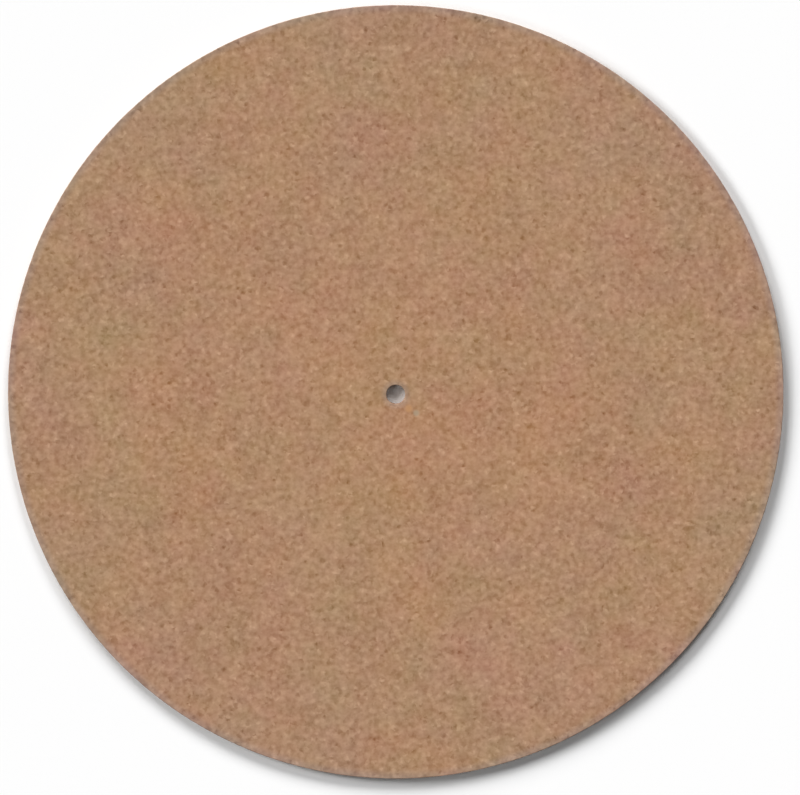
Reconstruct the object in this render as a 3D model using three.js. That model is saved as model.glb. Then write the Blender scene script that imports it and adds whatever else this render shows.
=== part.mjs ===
// A record player's platter mat: one flat disc of agglomerated cork, die-cut from sheet, with a
// plain hole at its centre for the spindle.
// Millimetres, +Z up. The origin is the centre of the underside, which lies on the platter, and
// the upper face carries the record.
import * as THREE from "three";

// The disc that is cut from the sheet
const matDiameter = 300;
const sheetThickness = 3;
const spindleHoleDiameter = 7.2;

// The section of a die-cut edge. The knife comes in from the record side and rolls that edge
// over, the squeezed cork then springs back and leaves the wall a little hollow, and the knife
// comes out at the underside with a nearly sharp edge.
const entryRollRadius = 0.25;
const wallHollow = 0.1;
const exitRollRadius = 0.15;

// How finely the round stretches are stepped
const stepsPerTurn = 144;
const entryRollSteps = 3;
const wallSteps = 4;
const exitRollSteps = 2;

const quarterTurn = Math.PI / 2;

// Section of one cut wall as (radius, height) points, from the upper face down to the underside.
// outward is 1 at the rim, whose wall faces away from the centre, and -1 at the hole.
function cutWall(wallRadius, outward) {
  const points = [];
  const add = (inset, height) => {
    points.push(new THREE.Vector2(wallRadius - outward * inset, height));
  };

  for (let i = 0; i <= entryRollSteps; i++) {
    const turn = (i / entryRollSteps) * quarterTurn;
    const drop = entryRollRadius * (1 - Math.cos(turn));
    add(entryRollRadius * (1 - Math.sin(turn)), sheetThickness - drop);
  }

  const wallTop = sheetThickness - entryRollRadius;
  const wallFoot = exitRollRadius;
  for (let i = 1; i < wallSteps; i++) {
    const down = i / wallSteps;
    add(wallHollow * Math.sin(Math.PI * down), wallTop + (wallFoot - wallTop) * down);
  }

  for (let i = 0; i <= exitRollSteps; i++) {
    const turn = (i / exitRollSteps) * quarterTurn;
    add(exitRollRadius * (1 - Math.cos(turn)), exitRollRadius * (1 - Math.sin(turn)));
  }
  return points;
}

// The whole section, once round: down the hole's wall, out along the underside, up the rim's
// wall and back across the upper face. Turned about the spindle's axis, it is the disc.
function discGeometry() {
  const holeWall = cutWall(spindleHoleDiameter / 2, -1);
  const rimWall = cutWall(matDiameter / 2, 1).reverse();
  const section = [...holeWall, ...rimWall, holeWall[0]];
  const disc = new THREE.LatheGeometry(section, stepsPerTurn);
  disc.rotateX(quarterTurn);
  return disc;
}

// Dry, unsealed cork: warm light brown, with no shine
const cork = new THREE.MeshStandardMaterial({
  color: 0xac8769,
  roughness: 0.92,
  metalness: 0,
});

const corkMat = new THREE.Mesh(discGeometry(), cork);
corkMat.name = "cork_mat";

const platterMat = new THREE.Group();
platterMat.add(corkMat);

export default platterMat;
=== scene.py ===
import math

import bmesh
import bpy
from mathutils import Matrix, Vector, noise


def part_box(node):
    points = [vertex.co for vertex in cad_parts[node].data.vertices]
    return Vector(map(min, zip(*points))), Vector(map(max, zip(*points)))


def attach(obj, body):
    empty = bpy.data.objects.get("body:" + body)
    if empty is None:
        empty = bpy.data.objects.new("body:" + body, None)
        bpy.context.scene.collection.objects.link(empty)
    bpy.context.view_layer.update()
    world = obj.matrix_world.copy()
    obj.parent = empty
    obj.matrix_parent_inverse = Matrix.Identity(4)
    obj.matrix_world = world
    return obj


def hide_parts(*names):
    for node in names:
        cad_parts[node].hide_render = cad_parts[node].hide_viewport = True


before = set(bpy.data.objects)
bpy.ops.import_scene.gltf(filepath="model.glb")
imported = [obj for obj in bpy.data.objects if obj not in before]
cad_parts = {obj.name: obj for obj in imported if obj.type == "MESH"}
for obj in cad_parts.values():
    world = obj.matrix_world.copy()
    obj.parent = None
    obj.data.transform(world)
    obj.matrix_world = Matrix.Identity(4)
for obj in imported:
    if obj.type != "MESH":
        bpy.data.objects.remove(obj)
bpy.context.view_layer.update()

# The mat is one disc of agglomerated cork: bark ground to granules a millimetre or two across and
# pressed into sheet with a little binder. It is die-cut: the knife rolls the upper edges of the
# rim and the spindle hole over, and leaves the cut walls a little hollow, with granules torn out.
MM = 0.001
SAME = 0.001 * MM  # two places closer than this are one
mat_low, mat_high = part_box("cork_mat")
thickness = mat_high.z - mat_low.z
rim_radius = mat_high.x
hole_radius = min(vertex.co.xy.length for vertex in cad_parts["cork_mat"].data.vertices)

rolled_edge = 0.25 * MM
rolled_edge_steps = 4
foot_edge = 0.15 * MM
foot_edge_steps = 2
shoulder = 0.5 * MM  # how far from each wall the last ring on a flat face lies
wall_rows = 8
first_steps = 45  # steps round the disc before its long ones are halved
record_face_cell = 2.0 * MM
underside_cell = 4.0 * MM
wall_cell = 0.35 * MM
step_slack = 1.05  # how far a step round a face may pass its cell, as a factor


def edge_runs(edge):
    """How far the edge runs along the disc's radius and along its height."""
    first, second = (vertex.co for vertex in edge.verts)
    return abs(first.xy.length - second.xy.length), abs(first.z - second.z)


def turned_skin():
    """The disc's closed skin, turned about the spindle's axis from the corners of its section."""
    skin = bmesh.new()
    radii = (hole_radius, hole_radius + shoulder, rim_radius - shoulder, rim_radius)
    section = [(radius, mat_low.z) for radius in radii]
    section += [(radius, mat_high.z) for radius in reversed(radii)]
    corners = [skin.verts.new((radius, 0, height)) for radius, height in section]
    sides = [skin.edges.new((corner, corners[i - 1])) for i, corner in enumerate(corners)]
    bmesh.ops.spin(
        skin, geom=corners + sides, cent=(0, 0, 0), axis=(0, 0, 1), dvec=(0, 0, 0),
        angle=2 * math.pi, steps=first_steps, use_merge=True, use_duplicate=False,
    )
    bmesh.ops.recalc_face_normals(skin, faces=skin.faces)
    return skin


def from_wall(place):
    """How far a place lies from the nearer cut wall, along the disc's radius."""
    return min(rim_radius - place.xy.length, place.xy.length - hole_radius)


def round_edges(skin, height, radius, steps):
    """Rounds the rim's and the hole's edge at one height."""
    edges = []
    for edge in skin.edges:
        first, second = (vertex.co for vertex in edge.verts)
        on_walls = max(from_wall(first), from_wall(second)) < SAME
        if on_walls and max(abs(first.z - height), abs(second.z - height)) < SAME:
            edges.append(edge)
    bmesh.ops.bevel(
        skin, geom=edges, offset=radius, offset_type="OFFSET", segments=steps, profile=0.5,
        affect="EDGES", material=-1,
    )


def add_rings(skin, height, cell):
    """Divides the flat face at one height into rings about a cell wide."""
    edges = []
    for edge in skin.edges:
        across_face = edge_runs(edge)[0] > rim_radius / 2
        if across_face and abs(edge.verts[0].co.z - height) < SAME:
            edges.append(edge)
    cuts = round(edges[0].calc_length() / cell) - 1
    bmesh.ops.subdivide_edges(skin, edges=edges, cuts=cuts, use_grid_fill=True)


def longest_step(place):
    """The longest step round a ring that this place on the skin may have."""
    if mat_low.z + SAME < place.z < mat_high.z - SAME:
        return wall_cell
    cell = record_face_cell if place.z > mat_low.z + SAME else underside_cell
    return min(step_slack * cell, wall_cell + from_wall(place))


def halve_long_steps(skin):
    """Halves the steps of each ring until none is too long, so that cells stay nearly square."""
    ring = skin.verts.layers.float.new("ring")
    for vertex in skin.verts:
        vertex[ring] = vertex.co.xy.length
    while True:
        long_steps = []
        for edge in skin.edges:
            first, second = edge.verts
            level = abs(first.co.z - second.co.z) < SAME
            round_ring = level and abs(first[ring] - second[ring]) < SAME
            if round_ring and edge.calc_length() > longest_step(first.co):
                long_steps.append(edge)
        if not long_steps:
            break
        bmesh.ops.subdivide_edges(
            skin, edges=long_steps, cuts=1, use_grid_fill=True, use_single_edge=True,
        )
        for vertex in skin.verts:
            vertex.co.xy = vertex.co.xy.normalized() * vertex[ring]
    skin.verts.layers.float.remove(ring)


wall_hollow = 0.1 * MM
face_relief = 0.01 * MM
wall_relief = 0.07 * MM
relief_granule = 1.7 * MM
level_spread = 0.6  # how much lower than its neighbour a granule may lie, as a share of the relief
least_wallness = 0.3  # a skin that faces less sideways than this counts as a flat face
torn_depth = 0.4 * MM
torn_share = 0.12  # how many of the granules at the walls are torn out
torn_border = 0.25  # share of a granule, and of the wall's height, over which its bed deepens
number_stride = 31.7  # takes neighbouring granules' middles to numbers that aren't alike


def granule_at(place):
    """A place's depth inside its granule, its way from the middle, and the granule's own number.

    The first two are shares of a granule's size, and the own number lies between 0 and 1.
    """
    distances, middles = noise.voronoi(place / relief_granule)
    own_number = 0.5 + 0.5 * noise.cell(middles[0] * number_stride)
    return distances[1] - distances[0], distances[0], own_number


def roughen(skin):
    """Sinks the skin between its granules, hollows the walls and tears some granules out of them.

    It also marks the cut walls and the torn beds, where shade is painted into the finish.
    """
    cut = skin.verts.layers.float.new("cut")
    torn = skin.verts.layers.float.new("torn")
    skin.normal_update()
    wall_foot = mat_low.z + foot_edge
    wall_top = mat_high.z - rolled_edge
    moved = []
    for vertex in skin.verts:
        wallness = vertex.normal.xy.length
        vertex[cut] = max(0.0, 2 * wallness - 1)
        inside, from_middle, own_number = granule_at(vertex.co)
        relief = face_relief + (wall_relief - face_relief) * wallness
        sink = relief * min(1.0, from_middle ** 2 + level_spread * own_number)
        if wallness > least_wallness:
            up = min(max((vertex.co.z - wall_foot) / (wall_top - wall_foot), 0), 1)
            sink += wall_hollow * math.sin(math.pi * up) * wallness
            if own_number < torn_share:
                in_granule = min(1.0, inside / torn_border)
                below_top = min(1.0, (1 - up) / torn_border)
                vertex[torn] = in_granule * below_top * wallness
                sink += torn_depth * vertex[torn]
        moved.append(vertex.co - vertex.normal * sink)
    for vertex, place in zip(skin.verts, moved):
        vertex.co = place


skin = turned_skin()
round_edges(skin, mat_high.z, rolled_edge, rolled_edge_steps)
round_edges(skin, mat_low.z, foot_edge, foot_edge_steps)
add_rings(skin, mat_high.z, record_face_cell)
add_rings(skin, mat_low.z, underside_cell)
walls = [edge for edge in skin.edges if edge_runs(edge)[1] > thickness / 2]
bmesh.ops.subdivide_edges(skin, edges=walls, cuts=wall_rows - 1, use_grid_fill=True)
halve_long_steps(skin)
roughen(skin)
bmesh.ops.triangulate(skin, faces=skin.faces)
for face in skin.faces:
    face.smooth = True

cork_mesh = bpy.data.meshes.new("cork_disc")
skin.to_mesh(cork_mesh)
skin.free()
cork_disc = bpy.data.objects.new("cork_disc", cork_mesh)
bpy.context.scene.collection.objects.link(cork_disc)


class Shade:
    """One socket of a material's nodes. Arithmetic on it adds Math nodes."""

    def __init__(self, tree, socket=None):
        self.tree = tree
        self.socket = socket

    def node(self, kind, settings=None, inputs=None, output=0):
        """One output of a new node, whose settings come first and then its sockets' inputs."""
        made = self.tree.nodes.new(kind)
        for name, value in (settings or {}).items():
            setattr(made, name, value)
        for key, value in (inputs or {}).items():
            if isinstance(value, Shade):
                self.tree.links.new(value.socket, made.inputs[key])
            else:
                made.inputs[key].default_value = value
        return Shade(self.tree, made.outputs[output] if made.outputs else None)

    def twin(self, output):
        """Another output of the node that this one comes from."""
        return Shade(self.tree, self.socket.node.outputs[output])

    def math(self, operation, *values):
        """A number worked out by one Math node."""
        return self.node("ShaderNodeMath", {"operation": operation}, dict(enumerate(values)))

    def vector(self, operation, *values):
        """A place or colour, or for LENGTH a number, worked out from this one by Vector Math."""
        output = "Value" if operation == "LENGTH" else "Vector"
        inputs = dict(enumerate((self, *values)))
        return self.node("ShaderNodeVectorMath", {"operation": operation}, inputs, output)

    def __add__(self, other):
        return self.math("ADD", self, other)

    def __sub__(self, other):
        return self.math("SUBTRACT", self, other)

    def __rsub__(self, other):
        return self.math("SUBTRACT", other, self)

    def __mul__(self, other):
        return self.math("MULTIPLY", self, other)

    __radd__ = __add__
    __rmul__ = __mul__

    def ramp(self, low, high):
        """0 where the value is at low and 1 where it is at high, smooth between."""
        return self.node(
            "ShaderNodeMapRange", {"interpolation_type": "SMOOTHSTEP"},
            {"Value": self, "From Min": low, "From Max": high},
        )

    def mix(self, first, second):
        """A colour between two colours, where the value says how much of the second."""
        # A Mix node has its two colours at inputs 6 and 7, and their mixture at output 2.
        inputs = {0: self, 6: first, 7: second}
        return self.node("ShaderNodeMix", {"data_type": "RGBA"}, inputs, output=2)


def srgb(red, green, blue):
    """A linear colour from the 0 to 255 values that a picture shows."""
    shares = [value / 255 for value in (red, green, blue)]
    return (*[s / 12.92 if s <= 0.04045 else ((s + 0.055) / 1.055) ** 2.4 for s in shares], 1.0)


# The finish is worked out in millimetres on the mat.
granule_size = 1.5
stir_scale = 0.7  # how fast the stirring of the granules changes, per millimetre
stir_reach = 1.6
crumb_size = 1.9
speck_core = 0.1  # a speck fades from here to its edge, in granules from its middle
speck_edge = 0.5
odd_contrast = 0.12
speck_contrast = 0.16
crumb_contrast = 0.62
granule_height = 0.01 * MM  # heights are real ones, as the bump needs them
crumb_height = 0.03 * MM


def grain(shade, place):
    """The grain's tone, 0 where it is as pale as the sheet, and its height."""
    # Granules lie squeezed out of round in a mass of soft crumbs. Most are as pale as the crumbs,
    # and a few are much darker or paler and show as specks.
    stir = shade.node(
        "ShaderNodeTexNoise",
        inputs={"Vector": place, "Scale": stir_scale, "Detail": 1.0},
        output="Color",
    )
    stirred = stir.vector("MULTIPLY_ADD", (stir_reach, stir_reach, stir_reach), place)
    granule = shade.node(
        "ShaderNodeTexVoronoi",
        inputs={"Vector": stirred, "Scale": 1 / granule_size},
        output="Color",
    )
    from_middle = granule.twin("Distance")
    own_tone = 2 * shade.node("ShaderNodeSeparateColor", inputs={"Color": granule}) - 1
    odd = own_tone * own_tone * own_tone
    speck = odd * own_tone * own_tone * (1 - from_middle.ramp(speck_core, speck_edge))
    crumbs = shade.node(
        "ShaderNodeTexNoise",
        inputs={"Vector": place, "Scale": 1 / crumb_size, "Detail": 1.0, "Roughness": 0.4},
    )
    tone = odd_contrast * odd + speck_contrast * speck + crumb_contrast * (crumbs - 0.5)
    return tone, crumb_height * crumbs + granule_height * odd


# Each span is what its mask or pattern adds to the linear colour where it is 1.
cork_colour = srgb(172.3, 132.4, 101.2)
drift_size = 40
drift_span = (0.12, 0.07, 0.045)
drift_start = [colour - span / 2 for colour, span in zip(cork_colour, drift_span)]
handled_span = (-0.025, -0.004, 0.005)
greyed_span = (-0.035, 0.005, 0.035)
rim_wear = 4  # how far in from the rim the edge is greyed
hole_wear = 3


def bark_colour(shade, place, cut):
    """The bark's own colour, with the grey that handling has left on it."""
    # It drifts between reddish and olive over a few centimetres. Handling has greyed the faces a
    # little towards the rim, and most along their edges.
    drift = shade.node(
        "ShaderNodeTexNoise",
        inputs={"Vector": place, "Scale": 1 / drift_size, "Detail": 3.0, "Roughness": 0.75},
        output="Color",
    )
    from_axis = place.vector("MULTIPLY", (1, 1, 0)).vector("LENGTH")
    handled = from_axis * (MM / rim_radius)
    rim_edge = from_axis.ramp(rim_radius / MM - rim_wear, rim_radius / MM)
    hole_edge = 1 - from_axis.ramp(hole_radius / MM, hole_radius / MM + hole_wear)
    greyed = (rim_edge + hole_edge) * (1 - cut)
    colour = drift.vector("MULTIPLY_ADD", drift_span, drift_start)
    colour = (handled * handled).vector("MULTIPLY_ADD", handled_span, colour)
    return greyed.vector("MULTIPLY_ADD", greyed_span, colour)


dark_tone = srgb(132.5, 94.7, 65.5)
pale_tone = srgb(212.5, 174.7, 145.5)
tone_span = [pale - dark for pale, dark in zip(pale_tone, dark_tone)][:3]
# Painted shade of the pits in the cut walls and of the torn beds, as shares of the colour.
pit_shade = 0.5
torn_shade = 0.2

# Two odd granules lie beside the hole, a rusty one and a grey one. Each row gives the granule's
# middle, its half size and its colour, which fades out from its core to its edge, in half sizes.
odd_granules = (
    ((5.0, -5.5, 3), (1.5, 1.6, 1), srgb(190, 142, 98)),
    ((7.9, -7.2, 3), (1.3, 1.3, 1), srgb(168, 148, 124)),
)
odd_granule_core = 0.4
odd_granule_edge = 1.3
odd_granule_cover = 0.8


def cork_finish():
    """Sanded, unsealed agglomerated cork."""
    material = bpy.data.materials.new("cork")
    material.use_nodes = True
    material.node_tree.nodes.clear()
    shade = Shade(material.node_tree)
    metres = shade.node("ShaderNodeTexCoord", output="Object")
    per_metre = (1 / MM, 1 / MM, 1 / MM)
    place = shade.node("ShaderNodeMapping", inputs={"Vector": metres, "Scale": per_metre})
    cut = shade.node("ShaderNodeAttribute", {"attribute_name": "cut"}, output="Fac")
    torn = shade.node("ShaderNodeAttribute", {"attribute_name": "torn"}, output="Fac")

    tone, height = grain(shade, place)
    tint = tone.vector("MULTIPLY_ADD", tone_span, bark_colour(shade, place, cut))
    for middle, half_size, own_colour in odd_granules:
        off = place.vector("SUBTRACT", middle).vector("DIVIDE", half_size).vector("LENGTH")
        cover = odd_granule_cover * (1 - off.ramp(odd_granule_core, odd_granule_edge))
        tint = cover.mix(tint, own_colour)

    # Painted shade: darker cut walls for the shade in their fine pits, darker still in torn beds.
    tint = tint.vector("MULTIPLY", 1 - pit_shade * cut - torn_shade * torn)

    surface = shade.node(
        "ShaderNodeBsdfPrincipled",
        inputs={
            "Base Color": tint,
            "Roughness": 0.92,
            "Specular IOR Level": 0.25,
            "Normal": shade.node(
                "ShaderNodeBump", inputs={"Height": height, "Strength": 1.0, "Distance": 1.0},
            ),
        },
    )
    shade.node("ShaderNodeOutputMaterial", inputs={"Surface": surface})
    return material


cork_mesh.materials.append(cork_finish())
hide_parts("cork_mat")
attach(cork_disc, "root")

# The mat lies on a plain white table, which is not part of it. A hair of air under the mat keeps
# the two surfaces apart.
table_size = 60.0  # so wide that its edge shows in no view
table_drop = 0.05 * MM
table_mesh = bpy.data.meshes.new("table")
table_top = bmesh.new()
bmesh.ops.create_grid(table_top, x_segments=1, y_segments=1, size=table_size / 2)
bmesh.ops.translate(table_top, verts=table_top.verts, vec=(0, 0, mat_low.z - table_drop))
table_top.to_mesh(table_mesh)
table_top.free()
table = bpy.data.objects.new("table", table_mesh)
bpy.context.scene.collection.objects.link(table)

white_paint = bpy.data.materials.new("white_table")
white_paint.use_nodes = True
white_shader = white_paint.node_tree.nodes["Principled BSDF"]
white_shader.inputs["Base Color"].default_value = (0.99, 0.99, 0.99, 1)
white_shader.inputs["Roughness"].default_value = 1.0
white_shader.inputs["Specular IOR Level"].default_value = 0.0
table_mesh.materials.append(white_paint)

# Soft studio light: broad lamps stand in a bow to the left behind the mat, low in its middle and
# higher at its ends, and the room is white all round. The shares of the room and the lamps come
# to 1, which is the light on a level surface, so a colour shows there as it is written.
room_share = 0.035
lamp_width = math.radians(20)

# Each row gives a lamp's lean from upright, which way it stands, and its share.
lamp_bow = (
    (40, 28, 0.05),
    (62, 72, 0.215),
    (68, 114, 0.305),
    (65, 156, 0.3),
    (51, 202, 0.095),
)
for lean, way, share in lamp_bow:
    lamp_data = bpy.data.lights.new("studio_lamp", "SUN")
    lamp_data.angle = lamp_width
    lamp_data.energy = math.pi * share / math.cos(math.radians(lean))
    lamp = bpy.data.objects.new("studio_lamp", lamp_data)
    lamp.rotation_euler = (0, math.radians(lean), math.radians(way))
    bpy.context.scene.collection.objects.link(lamp)

# The room looks white to the camera and in gloss and glass, but adds only its share of the light.
room = bpy.data.worlds.new("white_room")
room.use_nodes = True
room.node_tree.nodes.clear()
shade = Shade(room.node_tree)
seen = shade.node("ShaderNodeLightPath", output="Is Camera Ray")
mirrored = seen.twin("Is Glossy Ray")
through = seen.twin("Is Transmission Ray")
shown = shade.math("MAXIMUM", shade.math("MAXIMUM", seen, mirrored), through)
background = shade.node(
    "ShaderNodeBackground",
    inputs={"Color": (1, 1, 1, 1), "Strength": room_share + (1 - room_share) * shown},
)
shade.node("ShaderNodeOutputWorld", inputs={"Surface": background})
bpy.context.scene.world = room

# The camera looks down from high above the mat through a long lens, leaning a little towards the
# top of the picture.
camera_distance = 1.65
camera_lean = math.radians(4.1)
camera_aim = Vector((1.64 * MM, -1.18 * MM, mat_high.z))
camera_data = bpy.data.cameras.new("camera")
camera_data.sensor_width = 36.0
camera_data.lens = 192.0
camera_data.clip_start = 0.1
camera_data.clip_end = 100.0
camera = bpy.data.objects.new("camera", camera_data)
camera_back = Vector((0, math.sin(camera_lean), math.cos(camera_lean)))
camera.location = camera_aim + camera_back * camera_distance
camera.rotation_euler = (-camera_lean, 0, 0)
bpy.context.scene.collection.objects.link(camera)
bpy.context.scene.camera = camera

bpy.context.scene.view_settings.view_transform = "Standard"
